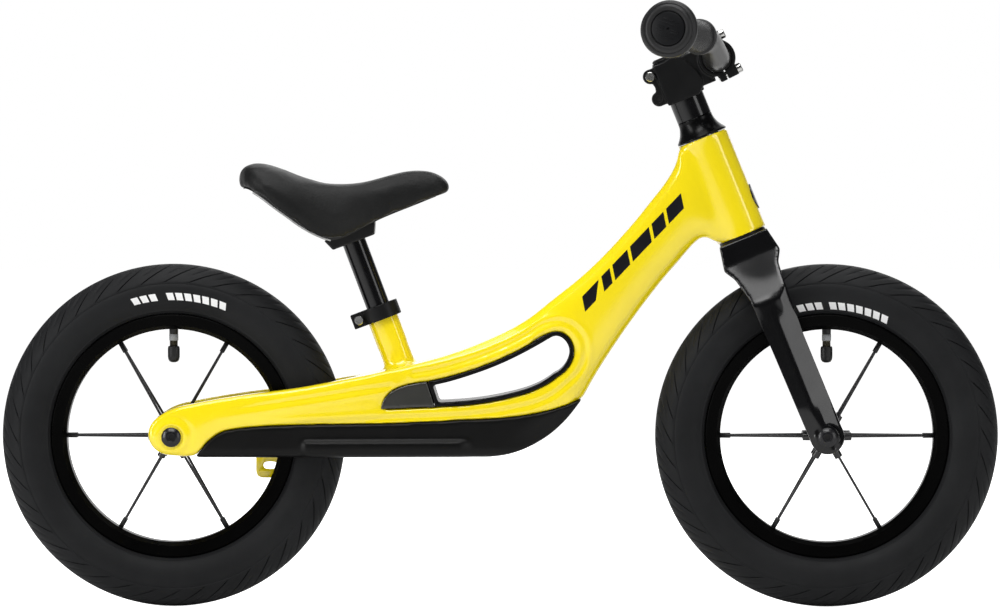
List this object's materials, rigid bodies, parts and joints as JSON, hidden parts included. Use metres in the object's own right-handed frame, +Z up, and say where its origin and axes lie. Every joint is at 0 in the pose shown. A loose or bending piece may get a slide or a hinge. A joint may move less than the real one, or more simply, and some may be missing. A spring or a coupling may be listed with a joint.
{
  "type": "balance bike",
  "caption": "Child's balance bike: moulded yellow frame with a slot and belly guard, bladed black fork, spoked air-tyre wheels, grips and padded saddle.",
  "frame": {"origin": "on the ground, midway between the two axles, on the bike's centre plane", "axes": "+X forward, +Y to the rider's left, +Z up"},
  "size_m": [0.88, 0.426, 0.5351],
  "materials": {
    "yellow_paint": "high-gloss yellow paint over a hollow alloy shell",
    "satin_plastic": "satin black moulded plastic",
    "liner_plastic": "satin black moulded plastic",
    "gloss_plastic": "glossy black moulded plastic",
    "badge_metal": "plain black badge",
    "bearing_steel": "ground steel",
    "black_paint": "high-gloss black paint on alloy",
    "black_alloy": "black anodised, bead-blasted",
    "bar_finish": "satin black painted tube",
    "bright_steel": "zinc-plated",
    "dark_steel": "black oxide",
    "grip_rubber": "matt ribbed rubber",
    "grip_cap": "matt rubber disc",
    "saddle_vinyl": "grained black vinyl over foam",
    "saddle_plastic": "moulded black plastic",
    "tyre_rubber": "matt black rubber",
    "tube_rubber": "smooth butyl",
    "rim_black": "gloss black",
    "rim_strip": "woven strip",
    "hub_alloy": "black anodised",
    "spoke_steel": "dark plated wire",
    "nipple_alloy": "black",
    "valve_brass": "nickel-plated brass and black rubber",
    "cap_plastic": "black plastic"
  },
  "bodies": {
    "frame": {"frame": "yellow_paint", "belly_guard": "satin_plastic", "guard_screws": "dark_steel", "slot_liner": "liner_plastic", "slot_insert": "gloss_plastic", "head_badge": "badge_metal", "lower_headset_bearing": "bearing_steel", "upper_headset_bearing": "bearing_steel", "seat_clamp_collar": "black_alloy", "seat_clamp_bolt": "bright_steel", "rear_axle": "bearing_steel", "rear_axle_spacers": "hub_alloy", "rear_axle_bolts": "dark_steel"},
    "steering": {"fork": "black_paint", "steerer_tube": "black_alloy", "crown_race": "bearing_steel", "compression_ring": "bearing_steel", "headset_cover": "black_alloy", "spacer_lower": "black_alloy", "spacer_upper": "black_alloy", "star_nut": "dark_steel", "top_cap": "black_alloy", "top_cap_bolt": "dark_steel", "stem_body": "black_alloy", "stem_faceplate": "black_alloy", "stem_clamp_bolts": "bright_steel", "faceplate_bolts": "bright_steel", "front_axle": "bearing_steel", "front_axle_spacers": "hub_alloy", "front_axle_bolts": "dark_steel"},
    "handlebar": {"handlebar": "bar_finish", "grip_left": "grip_rubber", "grip_right": "grip_rubber", "grip_end_caps": "grip_cap"},
    "front_wheel": {"front_tyre": "tyre_rubber", "front_inner_tube": "tube_rubber", "front_rim": "rim_black", "front_rim_tape": "rim_strip", "front_hub_shell": "hub_alloy", "front_hub_bearings": "bearing_steel", "front_spokes": "spoke_steel", "front_spoke_nipples": "nipple_alloy", "front_valve": "valve_brass", "front_valve_cap": "cap_plastic"},
    "rear_wheel": {"rear_tyre": "tyre_rubber", "rear_inner_tube": "tube_rubber", "rear_rim": "rim_black", "rear_rim_tape": "rim_strip", "rear_hub_shell": "hub_alloy", "rear_hub_bearings": "bearing_steel", "rear_spokes": "spoke_steel", "rear_spoke_nipples": "nipple_alloy", "rear_valve": "valve_brass", "rear_valve_cap": "cap_plastic"},
    "seatpost": {"seatpost": "black_alloy"},
    "saddle": {"saddle_bracket": "saddle_plastic", "saddle_base": "saddle_plastic", "saddle_padding": "saddle_vinyl", "saddle_bolts": "dark_steel"}
  },
  "joints": [
    {"name": "steering_turn", "type": "hinge", "parent": "frame", "child": "steering", "pos_m": [0.19615, 0, 0.37153], "axis": [-0.3746, 0, 0.9272], "continuous": true},
    {"name": "bar_tilt", "type": "hinge", "parent": "steering", "child": "handlebar", "pos_m": [0.1913, 0, 0.48497], "axis": [0, 1, 0], "range_deg": [-25, 25]},
    {"name": "front_wheel_spin", "type": "hinge", "parent": "steering", "child": "front_wheel", "pos_m": [0.2885, 0, 0.1515], "axis": [0, 1, 0], "continuous": true},
    {"name": "rear_wheel_spin", "type": "hinge", "parent": "frame", "child": "rear_wheel", "pos_m": [-0.2885, 0, 0.1515], "axis": [0, 1, 0], "continuous": true},
    {"name": "seatpost_slide", "type": "slide", "parent": "frame", "child": "seatpost", "axis": [-0.3518, 0, 0.9361], "range_m": [-0.04, 0.02]},
    {"name": "saddle_swivel", "type": "hinge", "parent": "seatpost", "child": "saddle", "pos_m": [-0.12894, 0, 0.32217], "axis": [-0.3518, 0, 0.9361], "continuous": true}
  ]
}
